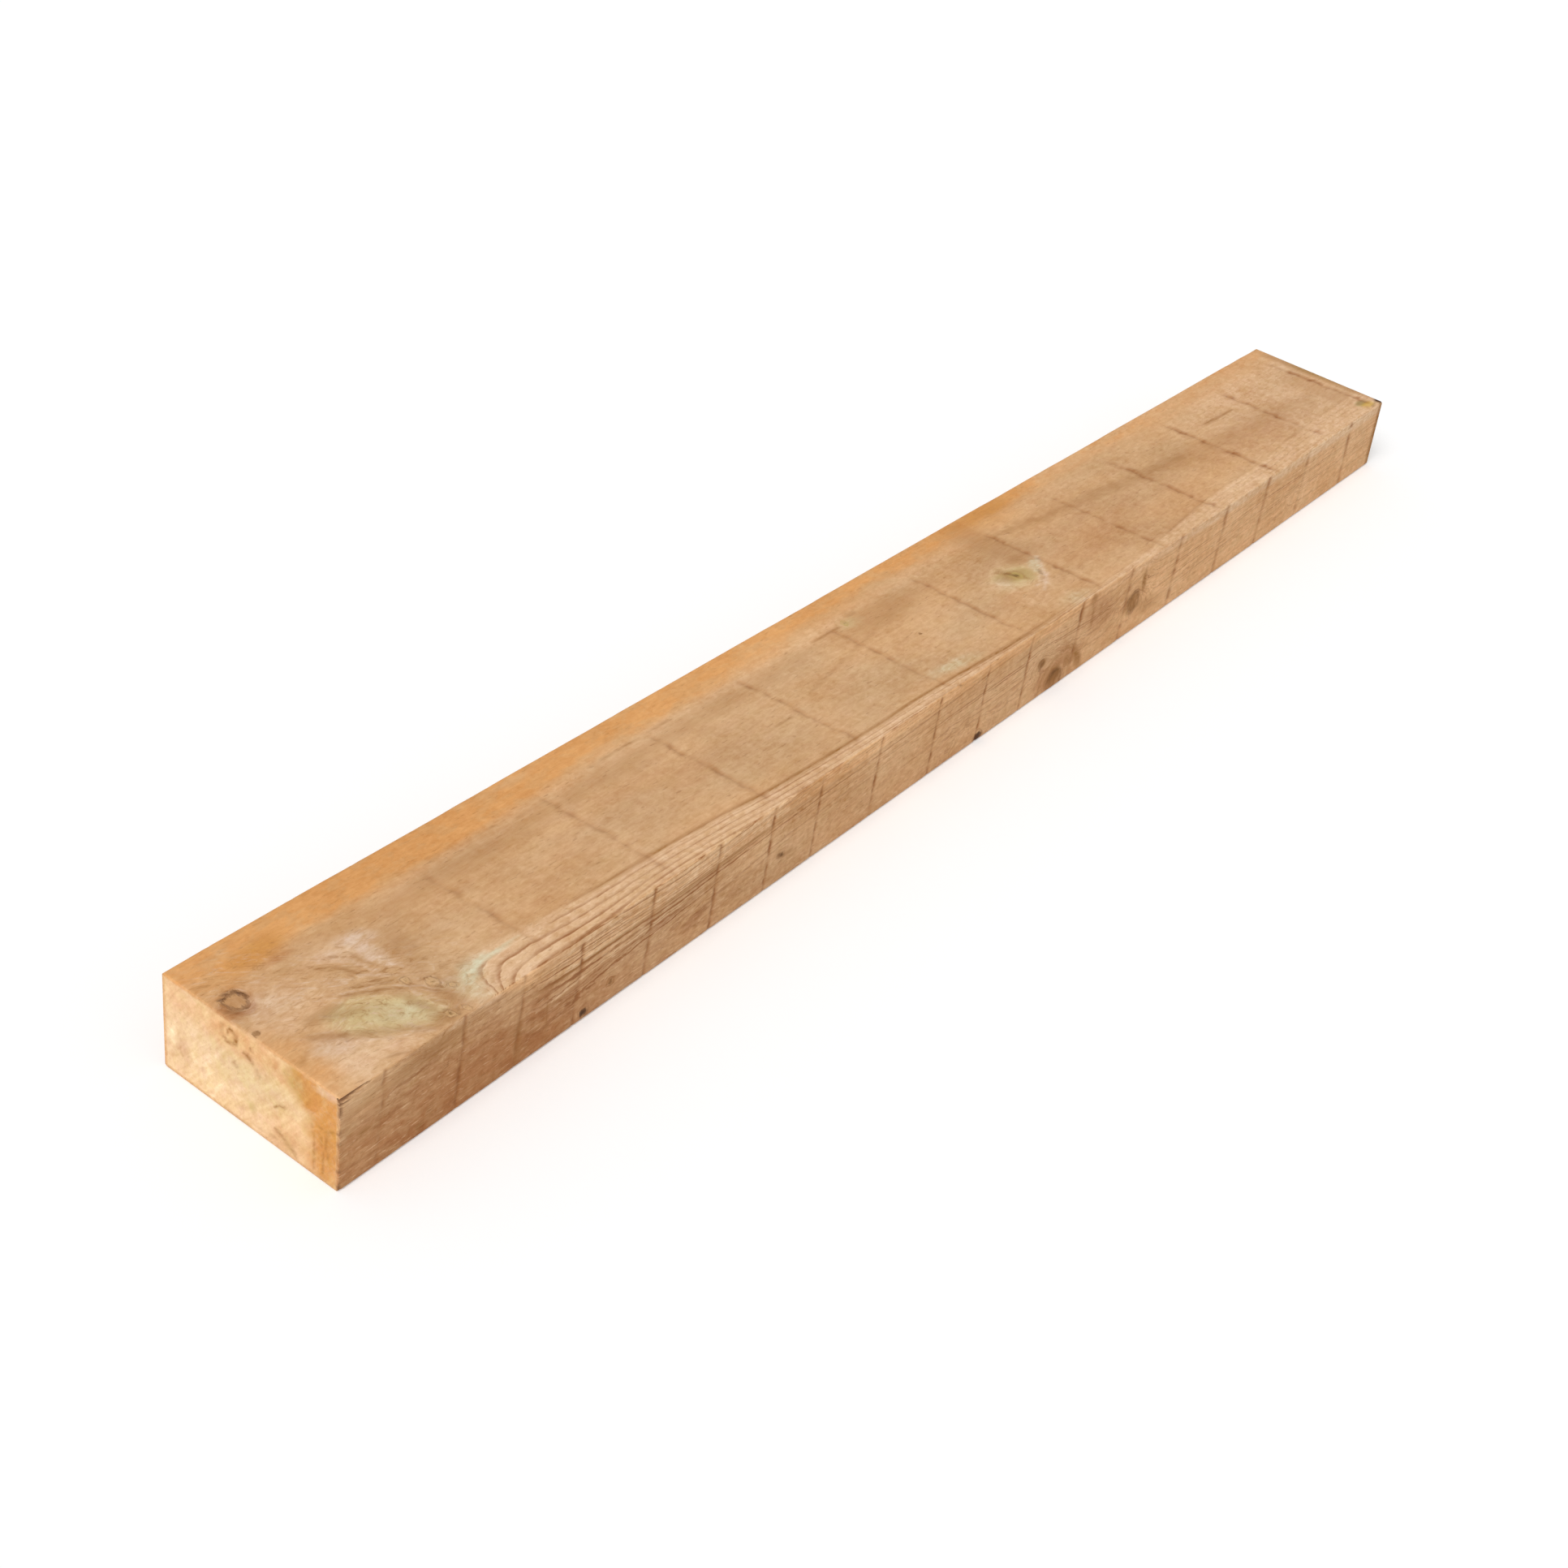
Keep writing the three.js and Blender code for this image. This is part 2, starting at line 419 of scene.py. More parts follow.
# The two axes that a mark's places run along
TOP, SIDE, END = (0, 1), (0, 2), (1, 2)


def blot(p, axes, a, b, half_a, half_b, strength, turn=0, soft=0.8, ragged=0.35):
    """A soft-edged oval patch on a face. Each mark's place gives it a seed of its own."""
    a_off, b_off = p[:, axes[0]] - a, p[:, axes[1]] - b
    c, s = math.cos(math.radians(turn)), math.sin(math.radians(turn))
    distance = np.hypot((a_off * c + b_off * s) / half_a, (b_off * c - a_off * s) / half_b)
    size = min(half_a, half_b)
    distance += ragged * drift(p, (size * 1.8, size * 0.7, size * 0.7), int(a + 41 * b), 3)
    return strength * (1 - smooth(distance, 1 - soft, 1 + soft))


def streak(p, axes, path, width, strength):
    """A soft stroke along the path's points, thinner at its ends and broken by the grain."""
    path = np.reshape(path, (-1, 2)).astype(float)
    runs = np.diff(path, axis=0)
    lengths = np.hypot(*runs.T)
    passed = 0.0
    away, share = np.full(len(p), 1e3), np.zeros(len(p))
    for start, run, length in zip(path, runs, lengths):
        q = p[:, list(axes)] - start
        t = np.clip(q @ run / length**2, 0, 1)
        gap = np.linalg.norm(q - t[:, None] * run, axis=1)
        nearer = gap < away
        away = np.where(nearer, gap, away)
        share = np.where(nearer, (passed + t * length) / lengths.sum(), share)
        passed += length
    seed = int(path[0][0] + 41 * path[0][1])
    away += 0.4 * width * drift(p, (9, 6, 6), seed)
    half = width / 2 * (0.4 + 1.2 * np.sqrt(share * (1 - share)))
    return strength * bell(away, half) * (0.75 + 0.4 * drift(p, (14, 8, 8), seed + 5))


# Marks by their kind. Patches: centre, half sizes, strength, then turn in degrees and softness
# where they have any of their own. Strokes: the points they run through, width, strength.
TOP_MARKS = {
    "resin": (
        (82, 84, 36, 15, 0.9, 8, 0.7), (1487, 110, 72, 16, 0.8, 0, 0.7),
        (1470, 86, 60, 18, 0.4, 0, 0.9),
    ),
    "rust": (
        (98, 80, 16, 11, 0.7, 12, 0.7), (96, 64, 13, 6, 0.7, 0, 0.7), (6, 34, 9, 14, 0.9, 0, 0.7),
        (20, 60, 16, 5, 0.5, 20), (34, 44, 5, 14, 0.5), (1610, -30, 180, 60, 0.3, 0, 0.9),
        (620, -10, 150, 40, 0.18, 0, 0.9), (2110, -36, 170, 34, 0.3, 0, 0.9),
        ((4, 40, 8, 28, 22, 24, 34, 30), 11, 1.4),
    ),
    "amber": ((38, 78, 26, 18, 0.6), (8, -72, 18, 50, 0.65),),
    "blanch": (
        (18, 88, 24, 3, 0.55, -4, 0.7), (48, 5, 40, 30, 0.65, -25, 0.7), (46, -94, 38, 34, 0.95),
        (90, -114, 34, 12, 0.8, -20, 0.7), (220, -106, 40, 16, 0.7, 20),
        (150, 34, 34, 16, 0.6, -10), (270, -73, 40, 5, 0.45), (1352, -22, 44, 26, 0.5, -6, 0.7),
        (1400, -46, 34, 8, 0.6, 44, 0.7), (1340, -70, 40, 22, 0.3, 0, 0.9),
        (2250, 64, 170, 40, 0.6, 0, 0.9), (2230, -20, 190, 90, 0.35, 0, 0.9),
        ((108, -20, 132, -34, 156, -49), 3, 0.7), ((2036, 31, 2090, 30, 2160, 28), 3, 0.5),
    ),
    "umber": (
        (68, -29, 19, 9, 0.45, -8, 0.7), (84, -42, 30, 7, 0.4, -24, 0.9),
        (146, -82, 7, 26, 0.4, 10), (152, -112, 18, 9, 0.55, -20, 0.7),
        (196, -6, 14, 32, 0.24, -14, 0.9), (176, -96, 9, 18, 0.4, 0, 0.9),
        (300, 50, 150, 16, 0.24, 0, 0.9), (640, 52, 300, 15, 0.24, 0, 0.9),
        (1140, 44, 80, 24, 0.3, 0, 0.9), (1096, 70, 12, 4, 0.4), (1406, 4, 24, 14, 0.42, 14, 0.9),
        (1412, 50, 34, 60, 0.3, 10, 0.9), (2335, -30, 28, 50, 0.25, 0, 0.9),
        (2390, -10, 12, 120, 0.5, 0, 0.7), (1360, -20, 27, 10, 0.45, -8, 0.7),
        ((1420, 62, 1540, 44, 1640, 32, 1790, 16, 1900, 4), 24, 0.5),
        ((1760, 22, 1880, 2, 2030, -14, 2200, -26, 2300, -30), 44, 0.32),
        ((1440, 58, 1500, 52, 1560, 42), 9, 0.35), ((1640, 30, 1700, 26, 1780, 24), 9, 0.35),
        ((150, 22, 152, 2, 158, -16), 4, 0.5),
        ((104, 36, 110, 26, 122, 18, 132, 6, 126, -10), 4, 0.5),
        ((60, -34, 76, -28, 92, -32), 5, 0.5), ((42, -56, 60, -70, 84, -88), 4, 0.4),
        ((140, -60, 150, -84, 152, -108), 5, 0.5), ((158, -84, 166, -100, 162, -116), 5, 0.5),
        ((367, 68, 390, 67, 417, 69), 2.5, 0.6), ((433, 63, 460, 62, 492, 63), 3, 0.5),
        ((558, 71, 600, 71, 662, 72), 3, 0.75), ((680, 72, 700, 72, 722, 73), 2.5, 0.5),
        ((34, -40, 75, -75, 108, -96, 140, -119), 11, 0.6),
        ((50, -56, 84, -83, 116, -102), 4, 0.5), ((96, -19, 121, -33, 156, -55), 5, 0.85),
        ((112, -17, 136, -31, 160, -44), 4, 0.75), ((119, 15, 130, 6, 137, -12), 4, 0.6),
        ((179, -18, 188, -10, 197, 2), 5, 0.5), ((200, -29, 205, -18, 209, -3), 3, 0.55),
        ((166, -70, 176, -84, 178, -90), 7, 0.75), ((186, -60, 190, -74, 184, -84), 4, 0.5),
        ((150, -56, 164, -60, 170, -78), 5, 0.5), ((70, -115, 82, -119, 92, -124), 4, 0.5),
        ((140, -112, 158, -108, 172, -118), 4, 0.6), ((0, -66, 12, -64, 22, -54), 4, 0.4),
        ((218, -116, 226, -104, 240, -98), 4, 0.5), ((1000, 61, 1040, 61, 1064, 60), 4, 0.95),
        ((892, -9, 962, 4, 1037, 17, 1096, 26), 6, 0.35), ((803, -23, 843, -24), 3, 0.75),
        ((1376, -58, 1394, -50, 1406, -34), 5, 0.55),
        ((1350, 2, 1358, -12, 1366, -26, 1372, -38), 17, 0.75),
        ((2031, 36, 2080, 35, 2133, 33), 5, 0.9), ((2088, -83, 2130, -80, 2176, -79), 3, 0.4),
        ((1655, -106, 1700, -101, 1800, -93), 4, 0.4),
    ),
    "lichen": (
        (112, -68, 54, 25, 1.0, -38, 0.45), (1078, 57, 20, 11, 0.45),
        (1362, -24, 44, 25, 0.6, -8, 0.5),
    ),
    "moss": (
        (112, -72, 34, 12, 0.35, -38), (1357, -21, 29, 14, 0.9, -8, 0.45),
        (1380, -27, 15, 15, 0.95, -30, 0.5), (2350, -102, 17, 7, 1.2, 0, 0.5),
        (2390, 10, 7, 46, 0.7, 0, 0.7),
    ),
    "mint": (
        (126, -80, 26, 12, 0.4, -40), (200, -98, 16, 22, 0.5, 24),
        (216, -84, 20, 11, 0.9, 34, 0.7), (232, -78, 16, 6, 0.9, 14, 0.7),
        (256, -79, 30, 2.4, 0.9, 1, 0.7), (1098, -93, 44, 9, 0.5, -8, 0.9),
        (1382, -112, 24, 14, 0.3, 0, 0.9), (1412, -22, 16, 6, 0.6, 40),
        ((1400, -34, 1418, -24, 1434, -12), 10, 0.8),
    ),
    "chalk": (
        (40, 18, 26, 16, 0.35, -20), (46, -70, 22, 12, 0.5, -30), (170, 32, 18, 10, 0.9, -10, 0.7),
        (166, 8, 10, 26, 0.75, 8, 0.6), (138, 28, 18, 8, 0.5, -30),
        (1334, -22, 14, 11, 0.45, 0, 0.7), (2230, -10, 190, 130, 0.12, 0, 0.9),
        ((160, 26, 158, 4, 166, -16, 176, -30), 6, 0.8), ((142, 20, 146, -2, 150, -20), 5, 0.7),
        ((134, -10, 148, -24, 162, -34), 4, 0.6), ((58, -70, 84, -92, 112, -108), 4, 0.5),
        ((112, -104, 122, -112, 132, -120), 8, 0.7),
        ((1362, -72, 1392, -56, 1412, -38, 1436, -12), 8, 0.9),
        ((1360, -58, 1378, -54, 1396, -42), 4, 0.8),
    ),
    "ochre": ((2356, -112, 17, 8, 0.9, 0, 0.5),),
    "ink": (
        (2350, -101, 14, 5, 0.3, 0, 0.6), (2391, -118, 12, 8, 1.2, 24, 0.6),
        ((12, 54, 20, 58, 29, 56, 34, 48, 33, 40), 5, 0.9),
        ((24, 29, 12, 29, 6, 37, 7, 46), 3, 0.5), ((164, -120, 170, -110), 4, 0.35),
        ((1398, -44, 1405, -36), 6, 0.6), ((1356, -8, 1362, -18, 1368, -28), 5, 0.5),
        ((2354, -122, 2372, -118, 2384, -112), 4, 0.5),
    ),
}
SIDE_MARKS = {
    "rust": (
        (280, 40, 26, 50, 0.9, 0, 0.9), (1440, 84, 38, 26, 0.55, -24),
        (1346, 26, 52, 36, 0.55, 0, 0.6), ((292, 92, 293, 50, 296, 4), 7, 1.0),
    ),
    "straw": ((22, 50, 22, 24, 0.5), (34, 92, 28, 12, 0.5, 6),),
    "umber": (
        (32, 61, 8, 3, 0.6), (250, 34, 5, 34, 0.4), (90, 104, 80, 9, 0.35, 4),
        (1334, 22, 18, 15, 0.8, 20, 0.5), (1372, 34, 16, 8, 0.5, -50, 0.6),
        (1400, 26, 8, 24, 0.7, 38, 0.6), (1544, 62, 20, 14, 0.7, 24, 0.5),
        (1562, 48, 16, 10, 0.5, 0, 0.6), (1571, 84, 6, 19, 0.8, 12, 0.7),
        (1600, 34, 44, 12, 0.3, -12), (1293, 60, 11, 8, 0.8, 0, 0.6),
        (1414, 117, 9, 6, 0.6, -40, 0.7), (398, 29, 6, 5, 0.5, 0, 0.7),
        (109, 14, 6, 4, 0.5, 0, 0.7), (2395, 60, 8, 80, 0.9),
        ((293, 60, 294, 34, 296, 6), 3, 0.35), ((696, 44, 710, 40, 726, 38), 8, 0.8),
        ((1300, 8, 1306, 34, 1330, 52, 1362, 58, 1390, 46), 6, 0.6),
        ((1376, 58, 1394, 36, 1412, 12), 7, 0.8), ((1358, 6, 1370, 26, 1382, 44), 5, 0.5),
        ((1528, 56, 1536, 44, 1550, 38), 5, 0.6), ((1406, 118, 1420, 96, 1424, 70), 7, 0.6),
        ((1462, 64, 1480, 70, 1500, 66), 6, 0.4),
    ),
    "blanch": ((160, 120, 12, 4, 0.8, 0, 0.7), (203, 121, 14, 4, 0.8, 0, 0.7),),
    "ink": (
        ((351, 12, 361, 10), 8, 0.7), ((1140, 7, 1158, 7), 11, 0.85), ((698, 43, 708, 40), 6, 0.8),
        ((1066, 123, 1072, 121), 4, 0.6), ((1700, 124, 1710, 123), 4, 0.5),
        ((1322, 12, 1332, 26, 1350, 30), 7, 0.5),
        ((1528, 58, 1534, 68, 1546, 75, 1560, 74), 5, 0.5),
        ((1286, 62, 1292, 58, 1298, 61), 7, 0.5),
    ),
}
END_MARKS = {
    "resin": (
        (-82, 103, 23, 21, 1.3, -35, 0.6), (-70, 112, 14, 14, 1.2, 0, 0.6),
        (-110, 58, 26, 84, 0.95, 4, 0.6),
    ),
    "amber": (
        (-58, 100, 24, 12, 0.5, -20), (10, 106, 66, 20, 0.55, 0, 0.9),
        (108, 108, 20, 24, 0.3, 0, 0.9), (-56, 40, 26, 30, 0.3, 0, 0.9),
    ),
    "chalk": ((-106, 117, 17, 4.5, 0.45, -8, 0.6),),
    "lichen": ((0, 66, 50, 26, 0.5, 0, 0.9),),
    "moss": ((-64, 102, 14, 15, 0.5, -30, 0.9), (-4, 30, 6, 7, 0.45, 0, 0.6),),
    "rust": (
        (-50, 16, 24, 12, 0.4, -30, 0.9), (100, 42, 12, 16, 0.35, 0, 0.9),
        ((-24, 112, -34, 104, -40, 112), 8, 0.6), ((98, 44, 102, 38, 98, 32), 7, 0.7),
        ((68, 36, 64, 20, 66, 8), 4, 0.5), ((4, 26, 14, 20, 22, 14), 8, 0.5),
    ),
    "umber": (
        ((38, 114, 38, 100, 31, 94, 20, 98, 18, 110, 28, 114, 31, 104), 5, 0.9),
        ((7, 94, 0, 92, -7, 87), 8, 1.0), ((-1, 108, -3, 102), 6, 0.8),
        ((-10, 84, -16, 74), 6, 0.6), ((21, 75, 17, 69), 7, 0.9),
        ((-36, 53, -44, 59, -52, 64), 5, 1.0), ((-38, 24, -50, 18, -66, 6), 8, 0.7),
        ((-4, 8, -20, 10, -40, 12), 4, 0.4), ((-92, 72, -104, 66, -118, 76), 3, 0.6),
        ((-88, 66, -92, 40, -90, 8), 3.5, 0.6), ((-98, 60, -103, 38, -104, 10), 3.5, 0.6),
        ((-110, 70, -106, 52, -112, 30), 3, 0.5),
    ),
    "cream": (
        ((54, 4, 46, 20, 34, 34, 18, 46), 7, 1.0), ((68, 4, 65, 28, 58, 54, 44, 72), 9, 0.9),
        ((84, 14, 80, 34, 84, 52), 6, 0.6), ((24, 30, 14, 42, 2, 50), 6, 0.5),
        ((112, 42, 113, 52, 110, 60), 12, 0.9),
    ),
}


def paint_marks(add, w):
    """The patches and strokes of the three faces that the photograph shows."""
    faces = ((w.top, TOP, TOP_MARKS), (w.right, SIDE, SIDE_MARKS), (w.front, END, END_MARKS))
    for shown, axes, marks in faces:
        for kind, listed in marks.items():
            for mark in listed:
                draw = streak if isinstance(mark[0], tuple) else blot
                add(kind, draw(w.p, axes, *mark) * shown)


def paint_top(add, w):
    """The bands along the top face, and the left side."""
    p, (x, y, z) = w.p, w.p.T
    # The sapwood along the left arris: amber, then peach beyond two thirds of the length
    edge = curve(((0, 82), (600, 86), (1200, 96), (1500, 100), (2400, 90)), x)
    inner = edge - y + 8 * drift(p, (120, 20, 20), 31, 3)
    far = smooth(x, 1450, 1750)
    warm = 0.62 * smooth(inner, 16, -16) + 0.5 * np.exp(-np.maximum(inner, 0) / 28)
    warm *= smooth(inner, 60, 10) * (1 - 0.55 * far)
    warm *= 0.95 + 0.7 * drift(p, (120, 18, 18), 33, 3)
    add("amber", np.clip(warm, 0, 0.97) * w.top)
    add("amber", 0.5 * w.left)
    peach = bell(y - edge + 20, 13) * (1 - far) * smooth(x, 140, 300)
    add("blanch", (0.42 * peach + 0.4 * smooth(inner, 6, -10) * far) * w.top)
    # The pale strip along the right arris, and its dark border
    inside = curve(STRIP_EDGE, x) - y + 3 * drift(p, (90, 12, 12), 34)
    add("blanch", 0.8 * smooth(inside, -2, 5) * smooth(x, 210, 240) * w.top)
    border = bell(inside, 2.4) * (0.7 + 0.6 * drift(p, (70, 300, 300), 35))
    add("umber", 0.9 * border * smooth(x, 330, 460) * smooth(x, 1380, 1250) * w.top)


def paint_sides(add, w):
    """The pale top of the right side, and its darker and redder front and foot."""
    x, y, z = w.p.T
    add("straw", (0.3 * smooth(x, 500, 900) + 0.35 * smooth(x, 1200, 1700)) * w.narrow)
    crest = ((0, 122), (220, 120), (290, 95), (600, 101), (1200, 107), (2400, 104))
    above = z - curve(crest, x)
    add("straw", smooth(above, -6, 6) * w.right)
    near = smooth(x, 260, 330) * smooth(x, 800, 600) * smooth(above, -6, 4)
    for kind, share in (("blanch", 0.9), ("amber", 0.5), ("cream", 0.28)):
        add(kind, share * near * w.right)
    add("blanch", 0.9 * smooth(above, -4, 6) * smooth(x, 1300, 1800) * w.right)
    add("cream", (0.06 + 0.16 * smooth(above, -2, 8)) * smooth(x, 1500, 2000) * w.right)
    red = ((0, 0.75), (280, 0.92), (450, 0.46), (600, 0.22), (900, 0.22), (1300, 0))
    head = curve(((0, 122), (240, 122), (300, 100), (360, 99), (2400, 92)), x)
    add("rust", curve(red, x) * smooth(z, head, head - 90) ** 0.9 * w.right)
    dark_ring = bell(z - curve(SIDE_LINE, x), 2) * smooth(x, 230, 330)
    add("umber", 0.7 * dark_ring * smooth(x, 900, 600) * w.right)


def stain_fields(w):
    """Strength of each stain at each place, from 0 to 1."""
    stains = {kind: np.zeros(len(w.p)) for kind in STAINS}

    def add(kind, strength):
        np.maximum(stains[kind], strength, out=stains[kind])

    for paint in (paint_marks, paint_top, paint_sides):
        paint(add, w)
    return stains


def ring_figure(w):
    """How clearly the rings show."""
    x, y, z = w.p.T
    bare = 21 * smooth(x, 400, 310) * smooth(z, 118, 125)
    strip = smooth(curve(STRIP_EDGE, x) - y - bare, -7, -2)
    strip *= (1 + 0.7 * smooth(x, 480, 300) - 0.75 * smooth(x, 1300, 1700)) * smooth(x, 204, 214)
    far = 0.1 * smooth(x, 1500, 2000) * smooth(-y, 30, 70)
    top = 0.06 + strip + far * (1 - smooth(strip, 0, 1))
    upper = smooth(z, 10, 66) * (1.25 - 0.9 * smooth(x, 520, 780)) * smooth(x, 230, 330)
    upper *= 1 - 0.5 * smooth(z, 94, 102)
    front = 0.25 * smooth(z, 50, 70) * smooth(x, 260, 200)
    right = 0.32 + upper + front - 0.2 * smooth(x, 1100, 1500)
    right *= 1 - 0.7 * smooth(x, 480, 600) * smooth(x, 1150, 950) * smooth(z, 86, 78)
    # The ring under the strong one is faint
    right *= 1 - 0.6 * bell(z - curve(SIDE_LINE, x) + 11, 4) * smooth(x, 480, 430)
    shown = top * w.top + right * w.right
    shown += 0.5 * w.left + 0.1 * w.front + 0.5 * w.back + 0.45 * w.under
    return np.maximum(shown * (0.85 + 0.4 * drift(w.p, (160, 20, 20), 41)), 0)


def fine_lines(w):
    """How much of the thin late wood within the rings shows."""
    x = w.p[:, 0]
    top = 0.05 + 0.2 * smooth(x, 380, 520) * smooth(x, 1800, 1400)
    return top * w.top + 1.1 * w.right + 0.7 * w.left


def grit(w):
    """How much the fine pattern stands out."""
    x, y, z = w.p.T
    side = w.narrow * (2.4 - 0.5 * smooth(x, 500, 1300))
    flat_faces = (1.65 - 0.4 * smooth(y, 70, 95)) * abs(w.out[:, 2]) + 0.4 * w.under
    return np.maximum(np.maximum(side, w.ends), flat_faces)


def whorl_zone(w):
    """Where the grain of the top face is torn and curled round the whorl."""
    zone = blot(w.p, TOP, 140, -34, 88, 62, 1, -34, 0.55, 0.5)
    return np.maximum(zone, blot(w.p, TOP, 40, 62, 60, 46, 0.6, 10, 0.6)) * w.top


# How strongly each score shows
WIDE_BOLD = (0.75, 0.85, 0.95, 0.9, 0.85, 1.0, 1.0, 0.95, 1.2, 1.25, 1.0, 1.3)
NARROW_BOLD = (
    0.6, 0.8, 0.6, 0.85, 0.95, 0.85, 0.85, 0.85, 0.85, 0.85, 1.0, 0.95, 1.2, 1.0, 1.1, 1.1, 1.1,
    0.9, 0.95,
)
# Short or faint marks beside the scores of the top face: station, from y, to y, strength
FAINT_MARKS = (
    (440, 60, -70, 0.3), (1175, 20, -60, 0.2), (1487, -20, -100, 0.25), (1569, -30, -90, 0.4),
    (1667, 0, -80, 0.25), (1703, -30, -80, 0.4), (1850, -10, -80, 0.25), (2045, 40, -100, 0.2),
    (2257, 56, 28, 0.55),
)
SMEAR, SMEAR_CORE = 7.4, 0.02  # half width of a wide score's dirt, and how dark its bottom is


def lean_of(w):
    """How far a saw stroke has leaned along the length at each place of its face."""
    x, y, z = w.p.T
    narrow = NARROW_LEAN_FRONT + x / LENGTH * (NARROW_LEAN_BACK - NARROW_LEAN_FRONT)
    up = narrow / HEIGHT * (z - HEIGHT / 2)
    return np.where(abs(w.out[:, 2]) > abs(w.out[:, 1]), WIDE_LEAN / WIDTH * y, up)


def score_fields(w):
    """Depth of the saw scores from 0 to 1, how dark they are, a painted highlight along the back
    of each, where its step would catch the light, and the leaned stations."""
    p, y = w.p, w.p[:, 1]
    station = p[:, 0] - lean_of(w)
    depth, dark, pale = np.zeros((3, len(p)))
    jag = 4.4 * drift(p, (300, 6, 6), 51, 2) + 2.4 * drift(p, (300, 26, 26), 52, 1)
    jag *= 1 - 0.5 * w.narrow
    half = SCORE_WIDTH / 2 * (1.2 + 0.5 * drift(p, (300, 7, 7), 53))
    vary = np.maximum(0.85 + drift(p, (60, 9, 9), 54, 3), 0.4)
    fade = (1 - 0.85 * smooth(y, 58, 84) * w.top) * (1 - 0.4 * smooth(-y, 100, 120) * w.top)

    def mark(at, shown, strength, smear, core):
        away = station + jag - at
        power = strength * shown * vary
        shape = bell(away, half)
        np.maximum(depth, power * shape, out=depth)
        np.maximum(dark, power * (core * shape + 0.4 * bell(away, smear)), out=dark)
        # Painted highlight: the wood just behind the score is lightened, as if its step caught the
        # light
        behind = smooth(away, 2, 7) * np.exp(-np.maximum(away - 7, 0) / 10)
        np.maximum(pale, strength * shown * behind, out=pale)

    for at, strength in zip(WIDE_SCORES, WIDE_BOLD):
        mark(at, w.wide * fade, strength, SMEAR + 2.6 * smooth(at, 1300, 1900), SMEAR_CORE)
    for at, strength in zip(NARROW_SCORES, NARROW_BOLD):
        far = smooth(at, 1150, 1500)
        mark(at, w.narrow, strength, 4.8 + 4.2 * far, 0.26 - 0.2 * far)
    for at, start, end, strength in FAINT_MARKS:
        shown = smooth(y, end - 8, end + 8) * (1 - smooth(y, start - 8, start + 8))
        mark(at, shown * w.top, strength, SMEAR, SMEAR_CORE)
    return np.clip(depth, 0, 1), np.clip(dark, 0, 1), pale, station


def panels(station, out):
    """Tone of the wood between one score and the next, from -1 to 1."""
    wide = lattice(np.searchsorted(WIDE_SCORES, station), 0, 0, 91)
    narrow = lattice(np.searchsorted(NARROW_SCORES, station), 0, 0, 92)
    return np.where(abs(out[:, 2]) > 0.7, wide, narrow) * (1 - abs(out[:, 0]))


# ---- Relief ----

# The crosscut at the back end is a little out of square: on the right side it stands this much
# further out at the foot than at the top, and the last scores lean with it
BACK_LEAN = 22.0
BACK_LEANS_OVER = 260
# Bites out of the right upper arris: station, half length, depth
ARRIS_BITES = ((160, 9, 1.6), (203, 12, 1.8), (1069, 6, 1.2), (1702, 9, 1.3), (230, 7, 1.0))


def chip_depth(w):
    """Depth of the split-out slivers under the front of the right upper arris."""
    x, y, z = w.p.T
    total = np.zeros(len(x))
    top, size = HEIGHT - CHIP_LIP, 1.0
    for seed in (61, 62):
        rough = 1 + 0.3 * drift(w.p, (9, 2, 2), seed)
        left = np.clip(1 - x / (CHIP_LENGTH * size) * rough, 0, 1)
        down = (top - z) / (CHIP_DROP * size * np.maximum(left, SLIVER_TIP))
        vee = np.where(down < 0.25, down / 0.25, (1 - down) / 0.75)
        total = np.maximum(total, CHIP_DEPTH * size * left * np.clip(vee, 0, 1))
        top -= CHIP_DROP * size
        size *= SLIVER_SHRINK
    return total * smooth(-w.out[:, 1], 0.1, 0.5)


def knot_relief(knots, kinds):
    """Knots stand a little proud of the planed-off wood round them, with a gap at loose bark."""
    proud = kinds["loose"] + kinds["brown"] + 1.6 * kinds["burr"] + 0.4 * kinds["green"]
    bark = kinds["loose"] + kinds["black"] + 0.6 * kinds["burr"]
    return 0.35 * bell(knots, 1) * proud - 0.45 * bell(knots - 1, 0.16) * bark


def side_relief(w, rings, knots, kinds, depth, station):
    """Height of the four long sides over the plain baulk."""
    p, (x, y, z) = w.p, w.p.T
    height = -0.16 + 0.16 * drift(p, (190, 34, 34), 71) + 0.07 * drift(p, (34, 9, 9), 72, 3)
    height -= SCORE_DEPTH * depth
    # Each stroke of the saw left its own level, and a chatter across the grain
    stroke = np.searchsorted(WIDE_SCORES, station)
    height += 0.07 * lattice(stroke, 0, 0, 73) * smooth(abs(w.out[:, 2]), 0.9, 1)
    height += 0.05 * drift(np.stack((station, 0.1 * y, 0.1 * z), 1), (11, 9, 9), 81, 2)
    height += 0.08 * (rings % 1) ** 3 * smooth(-y, 60, 90)
    height += knot_relief(knots, kinds)
    torn = blot(p, TOP, 150, -55, 70, 45, 1, -30, 0.6) * w.top
    return height + 0.45 * torn * drift(p, (9, 6, 6), 75, 3)


def fray(w):
    """Where the crosscut saw tore the fibres along the front of the right side."""
    torn = smooth(drift(w.p, (5, 5, 7), 78, 2), -0.15, 0.35)
    return 0.8 * torn * smooth(w.p[:, 0], 3.6, 1.2) * w.right


